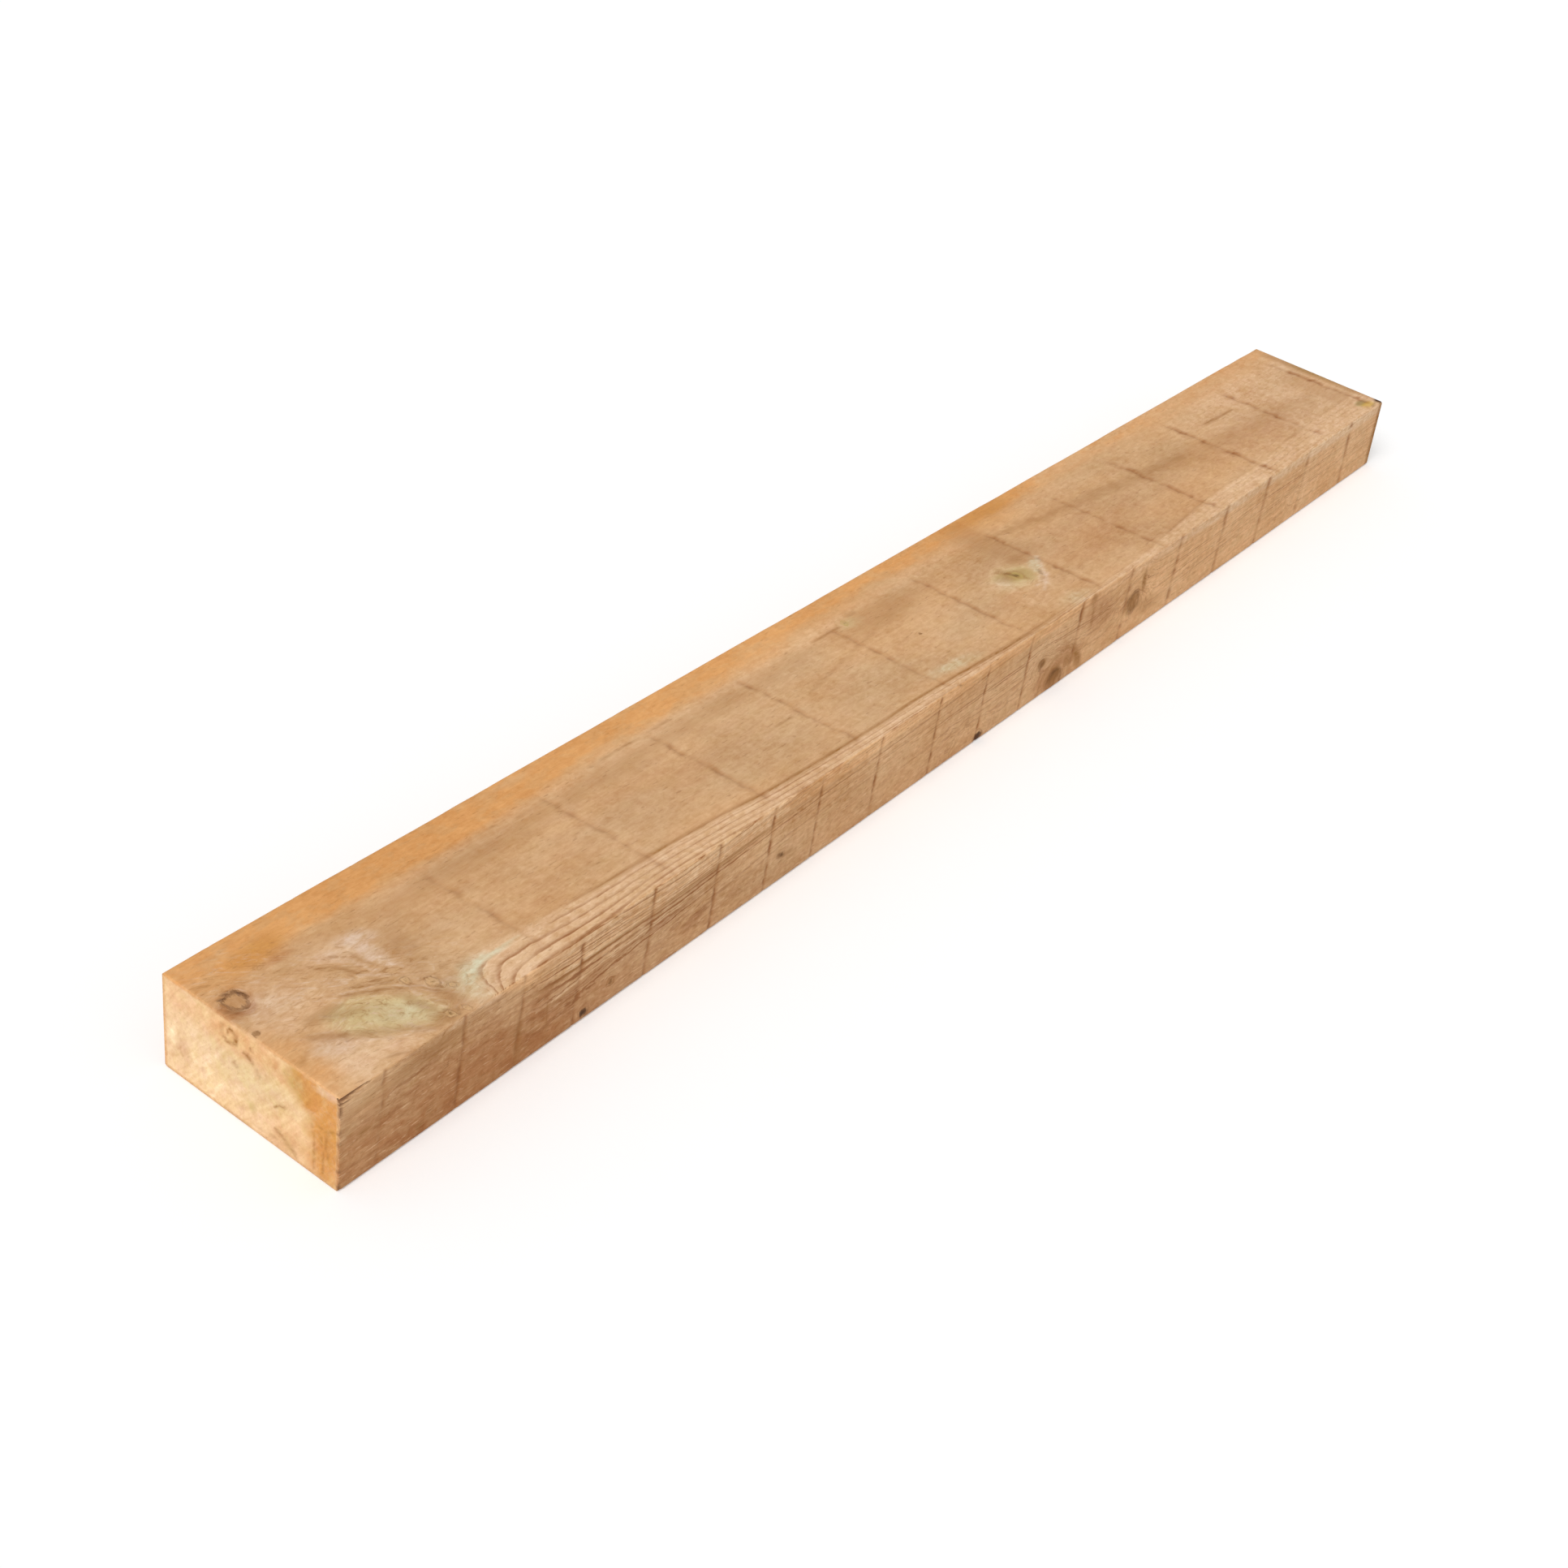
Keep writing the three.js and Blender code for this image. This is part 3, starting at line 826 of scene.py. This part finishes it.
def arris_wear(w):
    """Depth worn or bitten off the long arrises."""
    p, (x, y, z) = w.p, w.p.T
    arris = 4 * (w.out[:, 1] * w.out[:, 2]) ** 2
    depth = arris * (0.25 + 1.15 * smooth(drift(p, (70, 500, 500), 76, 3), -0.2, 0.8))
    corner = np.hypot(y + WIDTH / 2, z - HEIGHT)
    rough = 0.8 + 0.4 * drift(p, 4, 77)
    for station, half, bite in ARRIS_BITES:
        depth += bite * bell(x - station, half) * bell(corner, 4.5) * rough
    return depth + 1.1 * fray(w) * smooth(x, 0, 0.6)


def end_relief(p):
    """Height of the crosscut ends, rough from the coarse teeth of the saw."""
    x, y, z = p.T
    rim = np.minimum(WIDTH / 2 - abs(y), np.minimum(z, HEIGHT - z))
    coarse = 0.3 * drift(p, (9, 14, 9), 79, 3)
    kerf = (y * 0.42 + z * 0.9) / 6.5 + 0.4 * drift(p, (40, 60, 60), 80)
    return (-0.35 + coarse + 0.08 * np.sin(2 * math.pi * kerf)) * smooth(rim, 1.5, 5)


def back_shift(p):
    """How far the unsquare crosscut puts each place near the back end along the length."""
    x, y, z = p.T
    rightward = 0.5 - y / WIDTH
    return BACK_LEAN * rightward * (0.5 - z / HEIGHT) * smooth(x, LENGTH - BACK_LEANS_OVER, LENGTH)


# ---- The mesh ----

# Share of the bake's map that each long side gets, from the bottom up. The sides go on it in two
# halves of the length, one over the other, and the ends in a row above them.
MAP_SHARES = {"top": 0.2, "right": 0.1, "under": 0.075, "left": 0.07}
MAP_GAP = 0.004
END_ROW = 0.094


def lay_out(mesh, p, turn, skin_faces):
    """Gives the mesh the map that its textures are baked on."""
    corner = np.empty(len(mesh.loops), np.int32)
    mesh.loops.foreach_get("vertex_index", corner)
    count = np.empty(len(mesh.polygons), np.int32)
    mesh.polygons.foreach_get("loop_total", count)
    first = np.concatenate(([0], np.cumsum(count)[:-1]))
    x, y, z = p[corner].T
    back = np.repeat(np.add.reduceat(x, first) / count, count) > LENGTH / 2
    # Faces that close the loop read their first column's places as its end
    s = turn[corner]
    closing = np.repeat(np.maximum.reduceat(s, first) > 0.75, count)
    s = np.where(closing & (s == 0), 1, s)
    stops = np.cumsum((0, WIDTH, HEIGHT, WIDTH, HEIGHT)) / (2 * (WIDTH + HEIGHT))
    heights = np.cumsum((0, *MAP_SHARES.values()))
    u = MAP_GAP + (1 - 2 * MAP_GAP) * (x - back * LENGTH / 2) / (LENGTH / 2)
    v = MAP_GAP + np.interp(s, stops, heights) + back * (heights[-1] + MAP_GAP)
    ends = np.repeat(np.arange(len(count)) >= skin_faces, count)
    u_end = MAP_GAP + (0.5 - 2 * MAP_GAP) * (0.5 + y / WIDTH) + 0.5 * back
    v_end = 3 * MAP_GAP + 2 * heights[-1] + END_ROW * z / HEIGHT
    uv = np.column_stack((np.where(ends, u_end, u), np.where(ends, v_end, v)))
    layer = mesh.uv_layers.new(name="OFBake")
    layer.uv.foreach_set("vector", uv.astype(np.float32).ravel())


def store(mesh, fields):
    """Keeps the fields on the mesh as the attributes that the material reads."""
    for name, values in fields.items():
        kind, field = ("FLOAT_VECTOR", "vector") if values.ndim == 2 else ("FLOAT", "value")
        data = mesh.attributes.new(name, kind, "POINT").data
        data.foreach_set(field, np.ascontiguousarray(values, np.float32).ravel())


def placed(name, data):
    """A new object in the scene."""
    made = bpy.data.objects.new(name, data)
    bpy.context.scene.collection.objects.link(made)
    return made


def sawn_timber():
    """The whole sleeper as one closed mesh, with its relief and attributes."""
    p, out, faces, turn, skin_faces = baulk()
    w = Places(p, out)
    # The marks of the top face stay where they are though the back end leans
    marks = Places(p + np.outer(back_shift(p) * w.top, (1, 0, 0)), out)
    knots, lift, flow, kinds = knot_fields(p)
    rings = ring_count(p, flow, lift)
    depth, dark, pale, station = score_fields(marks)
    chip = chip_depth(w)
    height = side_relief(w, rings, knots, kinds, depth, station)
    height = np.where(abs(out[:, 0]) > 0.5, end_relief(p), height) - arris_wear(w) - chip
    shaped = p + out * height[:, None]
    shaped[:, 0] += back_shift(p)
    shaped[:, 2] = np.maximum(shaped[:, 2], 0)
    mesh = bpy.data.meshes.new("sawn_timber")
    mesh.from_pydata((shaped * MM + [LOW[0], 0, LOW[2]]).tolist(), [], faces)
    mesh.polygons.foreach_set("use_smooth", np.ones(len(faces), bool))
    store(mesh, {
        "rings": rings,
        "figure": ring_figure(w),
        "fine_lines": fine_lines(w),
        "grit": grit(w),
        "panel": panels(station, out),
        "knot": knots,
        "score": dark,
        # The painted highlight behind each score
        "pale": pale,
        "whorl": whorl_zone(w),
        "flow": flow * MM,
        "strokes": np.stack((station, 0.25 * p[:, 1], 0.25 * p[:, 2]), 1) * MM,
        "endgrain": smooth(abs(out[:, 0]), 0.5, 0.9),
        # Painted shade in the slivers, darker the deeper they are, and the torn fibres of the fray
        "chip_shade_and_fray": np.maximum(smooth(chip, 0.15, 1.2), fray(w)),
    })
    store(mesh, {f"knot_{kind}": kinds[kind] for kind in KNOT_LOOKS})
    store(mesh, stain_fields(marks))
    lay_out(mesh, p, turn, skin_faces)
    return placed("sawn_timber", mesh)


# ---- Material ----

def srgb(red, green, blue):
    """A colour as it shows on screen, 0 to 255, as the linear one that shaders take."""
    values = (v / 255 for v in (red, green, blue))
    return (*(v / 12.92 if v <= 0.04045 else ((v + 0.055) / 1.055) ** 2.4 for v in values), 1)


WARM_WOOD = srgb(209, 163, 117)
COOL_WOOD = srgb(202, 162, 120)
END_WOOD = srgb(228, 193, 150)
EARLYWOOD = srgb(229, 190, 148)
LATEWOOD = srgb(160, 107, 67)
SPECK = srgb(142, 94, 52)
SCORE_DIRT = srgb(146, 90, 46)
# Painted shade in the split-out slivers under the right upper arris, and the dark torn fibres of
# the fray
CHIP_SHADE_AND_FRAY = srgb(112, 70, 42)
KNOT_RIM = srgb(98, 60, 34)
KNOT_HEART = srgb(116, 84, 42)
# Stains in the order they lie on each other: colour, how patchy each is, and by which pattern
STAINS_UNDER_RINGS = {
    "straw": (srgb(228, 177, 126), 0.5, "broad"),
    "blanch": (srgb(222, 182, 142), 0.5, "fine"),
    "rust": (srgb(176, 121, 76), 0.45, "broad"),
    "amber": (srgb(219, 159, 98), 0.5, "broad"),
    "resin": (srgb(203, 142, 76), 0.45, "fine"),
    "lichen": (srgb(214, 190, 142), 0.6, "fine"),
    "moss": (srgb(190, 162, 108), 0.7, "fine"),
    "chalk": (srgb(221, 190, 162), 0.7, "fine"),
    "cream": (srgb(240, 210, 170), 0.5, "fine"),
    "mint": (srgb(212, 200, 166), 0.6, "fine"),
}
STAINS_OVER_RINGS = {
    "ochre": (srgb(206, 166, 84), 0.9, "fine"),
    "umber": (srgb(152, 102, 50), 0.9, "fine"),
}
STAINS_OVER_KNOTS = {"ink": (srgb(76, 48, 30), 1.2, "soft")}
STAINS = STAINS_UNDER_RINGS | STAINS_OVER_RINGS | STAINS_OVER_KNOTS
# Knots by their kind: colour, share of it, how patchy that is, and share of the dark rim
KNOT_LOOKS = {
    "loose": (srgb(186, 138, 92), 0.7, 0.6, 0.8),
    "pin": (srgb(138, 96, 54), 0.8, 0.4, 0.3),
    "green": (srgb(186, 158, 96), 0.6, 0.7, 0.0),
    "burr": (srgb(212, 172, 124), 0.5, 0.6, 0.4),
    "black": (srgb(80, 52, 34), 0.9, 0.2, 0.5),
    "brown": (srgb(146, 100, 54), 0.5, 0.8, 0.3),
}
# How much each colour gains or loses where the fine pattern is lighter or darker
SHADE_GAINS = {"Red": 0.65, "Green": 1.0, "Blue": 1.45}
# How much green and blue vary by themselves from place to place
BLUSH_GAINS = {"Green": -0.055, "Blue": 0.08}
GLOSS = 0.12


class Graph:
    """Short names for the nodes of one tree, and the colour that its layers build up."""

    def __init__(self, tree, colour=None):
        self.tree = tree
        self.colour = colour

    def feed(self, socket, value):
        if isinstance(value, bpy.types.NodeSocket):
            self.tree.links.new(value, socket)
        elif value is not None:
            socket.default_value = value

    def node(self, kind, inputs=(), **settings):
        """A node with these inputs, in their order or by their names or numbers."""
        node = self.tree.nodes.new("ShaderNode" + kind)
        for name, value in settings.items():
            setattr(node, name, value)
        for key, value in inputs.items() if isinstance(inputs, dict) else enumerate(inputs):
            self.feed(node.inputs[key], value)
        return node

    def math(self, operation, *values, clamp=False):
        return self.node("Math", values, operation=operation, use_clamp=clamp).outputs[0]

    def times(self, *values):
        return reduce(partial(self.math, "MULTIPLY"), values)

    def plus(self, *values):
        return reduce(partial(self.math, "ADD"), values)

    def line(self, value, slope, offset):
        return self.math("MULTIPLY_ADD", value, slope, offset)

    def swing(self, value, share):
        """A value from 0 to 1 as one that goes half the share up and down from 0."""
        return self.line(value, share, -share / 2)

    def rest(self, value):
        return self.math("SUBTRACT", 1, value)

    def coat(self, tint, *shares, blend="MIX"):
        """Lays a colour over the one so far, by the product of the shares."""
        inputs = {0: self.times(*shares), 6: self.colour, 7: tint}
        self.colour = self.node("Mix", inputs, data_type="RGBA", blend_type=blend).outputs[2]

    def read(self, name, output="Fac"):
        return self.node("Attribute", attribute_name=name).outputs[output]

    def mapped(self, vector, **settings):
        return self.node("Mapping", {"Vector": vector, **settings}).outputs[0]

    def noise(self, vector, size, detail=3, rough=0.6, curl=0.0):
        """Noise from 0 to 1 with bumps of the given size in mm."""
        inputs = {"Vector": vector, "Scale": 1 / (size * MM), "Detail": detail}
        inputs |= {"Roughness": rough, "Distortion": curl}
        return self.node("TexNoise", inputs).outputs["Fac"]

    def grain(self, along, size, detail=3, rough=0.6, shift=0.0, curl=0.0):
        """Noise that flows with the grain, drawn out along it to 1 / along times its size."""
        flow = self.read("flow", "Vector")
        vector = self.mapped(flow, Scale=(along, 1, 1), Location=(shift, shift, shift))
        return self.noise(vector, size, detail, rough, curl)

    def turned(self, turn, scale, *noise):
        """Noise on the grain's flow turned by an angle about one axis, then scaled."""
        flow = self.read("flow", "Vector")
        return self.noise(self.mapped(self.mapped(flow, Rotation=turn), Scale=scale), *noise)

    def step(self, value, start, end):
        inputs = {"Value": value, "From Min": start, "From Max": end}
        return self.node("MapRange", inputs, interpolation_type="SMOOTHSTEP").outputs[0]


def ring_shade(g):
    """Shares of late and early wood: late wood grows slowly through a ring and ends sharply, and
    the saw has torn both."""
    wobble, torn = g.grain(0.1, 40, 3, 0.5), g.grain(0.22, 5, 3, 0.5)
    rings = g.plus(g.read("rings"), g.swing(wobble, 0.4), g.swing(torn, 0.34))
    part = g.math("FRACT", rings)
    each = g.node("TexWhiteNoise", {"W": g.math("FLOOR", rings)}, noise_dimensions="1D")
    bold = g.line(g.math("POWER", each.outputs["Value"], 1.4), 0.7, 0.3)
    bold = g.times(bold, g.line(g.step(rings, STRIP_RINGS - 1.5, STRIP_RINGS - 0.5), 0.6, 0.4))
    late = g.times(g.step(part, 0.5, 0.9), g.rest(g.step(part, 0.93, 1)), bold)
    early = g.times(g.rest(g.step(part, 0.05, 0.4)), bold)
    thin = g.node("TexNoise", {"W": rings, "Scale": 4.6, "Detail": 2}, noise_dimensions="1D")
    late = g.plus(late, g.times(g.step(thin.outputs["Fac"], 0.48, 0.7), g.read("fine_lines")))
    shown = g.times(g.line(g.grain(0.09, 9, shift=3.1), 2.6, -0.4), g.read("figure"))
    return [g.math("MULTIPLY", share, shown, clamp=True) for share in (late, early)]


def lay_stains(g, stains, patterns):
    """Each stain comes and goes with its pattern."""
    for kind, (tint, wear, pattern) in stains.items():
        g.coat(tint, g.read(kind), g.line(patterns[pattern], wear, 1 - wear / 2))


def lay_knots(g, mottle):
    """Each kind of knot with its rim, and the heart of the green and burr ones."""
    ragged = g.swing(g.grain(1, 3, shift=2.2), 0.9)
    knot = g.plus(g.read("knot"), g.swing(mottle, 0.8), ragged)
    inside = g.rest(g.step(knot, 0.8, 1.05))
    heart = g.rest(g.step(knot, 0.1, 0.55))
    patchy = g.step(g.grain(0.7, 5, shift=4.4), 0.34, 0.66)
    rim = g.times(g.step(knot, 0.66, 0.92), g.rest(g.step(knot, 0.98, 1.24)))
    rim = g.times(rim, g.line(patchy, 0.7, 0.6))
    grown = g.line(g.math("SINE", g.times(knot, 20)), 0.09, g.swing(patchy, 0.9))
    for kind, (fill, share, patches, rim_share) in KNOT_LOOKS.items():
        mask = g.read(f"knot_{kind}")
        g.coat(fill, inside, mask, g.line(grown, patches, share))
        g.coat(KNOT_RIM, rim, mask, rim_share)
    g.coat(KNOT_HEART, heart, g.plus(g.read("knot_green"), g.read("knot_burr")), 0.7)


def surface(name, colour=None):
    """A new material, its graph and its shader."""
    material = bpy.data.materials.new(name)
    material.use_nodes = True
    tree = material.node_tree
    return material, Graph(tree, colour), tree.nodes["Principled BSDF"]


def wood_noise(g):
    """The noises that the wood's look is made of."""
    return SimpleNamespace(
        tone=g.grain(0.5, 70, 4),
        hue=g.grain(0.45, 80, 3, 0.5, 7.7),
        blush=g.grain(0.5, 15, 4, 0.6, 4.1),
        mottle=g.grain(0.6, 7, 5, 0.68, 1.3, 0.5),
        strand=g.grain(0.13, 3.4),
        fibre=g.grain(0.1, 1.4),
        chatter=g.noise(g.read("strokes", "Vector"), 7),
        light=g.step(g.grain(0.14, 2.4, 2, 0.5, 8.8), 0.6, 0.72),
        dashes=g.step(g.grain(0.2, 2.6, 2, 0.5, 5.9), 0.63, 0.74),
        tear=g.turned((math.radians(52), 0, 0), (1, 0.2, 1), 6, 2, 0.5, 0.6),
        curl=g.turned((0, 0, math.radians(35)), (0.28, 1, 1), 8, 5, 0.65, 1.2),
    )


def lay_shade(g, n, end, grit):
    """The fine pattern darkens or lightens whatever colour is there, blue the most, and a painted
    highlight lightens the wood behind each score.
    """
    shade = g.swing(n.tone, 0.4)
    for field, share in ((n.mottle, 0.46), (n.strand, 0.2), (n.fibre, 0.12), (n.chatter, 0.1)):
        shade = g.plus(shade, g.swing(field, share))
    shade = g.plus(shade, g.times(end, g.swing(n.tear, 0.5)))
    # The wood behind each score is lightened a little: a painted highlight
    shade = g.line(shade, grit, g.times(g.read("pale"), 0.07))
    shade = g.line(g.read("panel"), 0.03, shade)
    tint = {name: g.line(shade, gain, 1) for name, gain in SHADE_GAINS.items()}
    blushes = g.line(end, 2.2, 1)
    for name, share in BLUSH_GAINS.items():
        tint[name] = g.plus(tint[name], g.times(g.swing(n.blush, share), blushes))
    g.coat(g.node("CombineColor", tint).outputs[0], 1, blend="MULTIPLY")


def pine():
    material, g, shader = surface("sawn_pine_surface", COOL_WOOD)
    n = wood_noise(g)
    end, whorl, grit = g.read("endgrain"), g.read("whorl"), g.read("grit")
    patterns = {
        "broad": g.step(n.blush, 0.36, 0.64), "fine": g.step(n.mottle, 0.3, 0.7), "soft": n.mottle,
    }
    g.coat(WARM_WOOD, g.step(n.hue, 0.3, 0.7))
    g.coat(END_WOOD, end)
    lay_stains(g, STAINS_UNDER_RINGS, patterns)
    late, early = ring_shade(g)
    g.coat(EARLYWOOD, early, 0.6)
    g.coat(LATEWOOD, late)
    g.coat(EARLYWOOD, n.light, g.read("fine_lines"), 0.4)
    g.coat(STAINS["chalk"][0], g.step(n.curl, 0.52, 0.66), whorl, 0.6)
    g.coat(STAINS["umber"][0], g.step(n.curl, 0.46, 0.32), whorl, 0.6)
    lay_stains(g, STAINS_OVER_RINGS, patterns)
    lay_shade(g, n, end, grit)
    g.coat(SPECK, n.dashes, grit, 0.2)
    score = g.step(g.times(g.read("score"), g.line(n.mottle, 1.6, 0.2)), 0.02, 0.95)
    g.coat(SCORE_DIRT, score)
    lay_knots(g, n.mottle)
    lay_stains(g, STAINS_OVER_KNOTS, patterns)
    # Painted shade in the split-out slivers, and the darker fray along the front of the right side
    g.coat(CHIP_SHADE_AND_FRAY, g.read("chip_shade_and_fray"), 0.8)
    g.feed(shader.inputs["Base Color"], g.colour)
    g.feed(shader.inputs["Roughness"], g.line(n.strand, 0.25, 0.68))
    height = g.times(n.mottle, 1.6)
    for field, share in (
        (n.strand, 0.6), (n.fibre, 0.2), (n.chatter, 0.3), (n.dashes, -0.4), (score, -0.4),
        (late, 0.3), (n.curl, g.times(whorl, 1.6)),
    ):
        height = g.line(field, share, height)
    bump = g.node("Bump", {"Height": height, "Strength": 0.6, "Distance": 0.5 * MM})
    g.feed(shader.inputs["Normal"], bump.outputs[0])
    shader.inputs["Specular IOR Level"].default_value = GLOSS
    return material


# ---- Studio ----

# The camera that the photograph was taken with
CAMERA_PLACE = (-2.2563, -1.1943, 1.5821)
CAMERA_AIM = (-0.4041, -0.0561, 0.0625)
CAMERA_ROLL = math.radians(9.6)
LENS_MM, SENSOR_MM = 50.1, 36.0
CAMERA_SEES = 100  # metres
SKY = 0.5  # the even light of the room; the top face gets as much again from the sun
SUN_POWER = 2.22
SUN_FROM = (-0.69, -0.14, 0.707)
SUN_SPREAD = math.radians(30)
FLOOR_HALF = 20.0
FLOOR_GAP = 0.0002
FLOOR_WHITE = 0.9
FLOOR_GLOW = 0.12  # brings the floor up to white where the background shows it


def camera():
    data = bpy.data.cameras.new("camera")
    data.lens, data.sensor_width = LENS_MM, SENSOR_MM
    data.clip_end = CAMERA_SEES
    look = Vector(CAMERA_AIM) - Vector(CAMERA_PLACE)
    turn = look.to_track_quat("-Z", "Y").to_matrix().to_4x4()
    roll = Matrix.Rotation(CAMERA_ROLL, 4, "Z")
    eye = placed("camera", data)
    eye.matrix_world = Matrix.Translation(CAMERA_PLACE) @ turn @ roll
    bpy.context.scene.camera = eye


def sun():
    data = bpy.data.lights.new("sun", "SUN")
    data.energy, data.angle = SUN_POWER, SUN_SPREAD
    turn = Vector(SUN_FROM).to_track_quat("Z", "Y")
    placed("sun", data).matrix_world = turn.to_matrix().to_4x4()


def seen(g):
    """1 for rays that show the background: from the camera, in gloss and through glass."""
    path = g.node("LightPath").outputs
    total = g.plus(path["Is Camera Ray"], path["Is Glossy Ray"])
    return g.math("ADD", total, path["Is Transmission Ray"], clamp=True)


def world():
    made = bpy.data.worlds.new("studio")
    made.use_nodes = True
    bpy.context.scene.world = made
    g = Graph(made.node_tree)
    back = made.node_tree.nodes["Background"]
    back.inputs["Color"].default_value = (1, 1, 1, 1)
    g.feed(back.inputs["Strength"], g.line(seen(g), 1 - SKY, SKY))


def floor():
    mesh = bpy.data.meshes.new("floor")
    h, z = FLOOR_HALF, LOW[2] - FLOOR_GAP
    mesh.from_pydata([(-h, -h, z), (h, -h, z), (h, h, z), (-h, h, z)], [], [(0, 1, 2, 3)])
    material, g, shader = surface("floor")
    shader.inputs["Base Color"].default_value = (FLOOR_WHITE, FLOOR_WHITE, FLOOR_WHITE, 1)
    shader.inputs["Roughness"].default_value = 1.0
    shader.inputs["Specular IOR Level"].default_value = 0.0
    shader.inputs["Emission Color"].default_value = (1, 1, 1, 1)
    g.feed(shader.inputs["Emission Strength"], g.times(seen(g), FLOOR_GLOW))
    mesh.materials.append(material)
    plane = placed("floor", mesh)


camera()
timber = sawn_timber()
timber.data.materials.append(pine())
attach(timber, "root")
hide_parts(NODE)
world()
floor()
sun()
bpy.context.scene.view_settings.view_transform = "Standard"
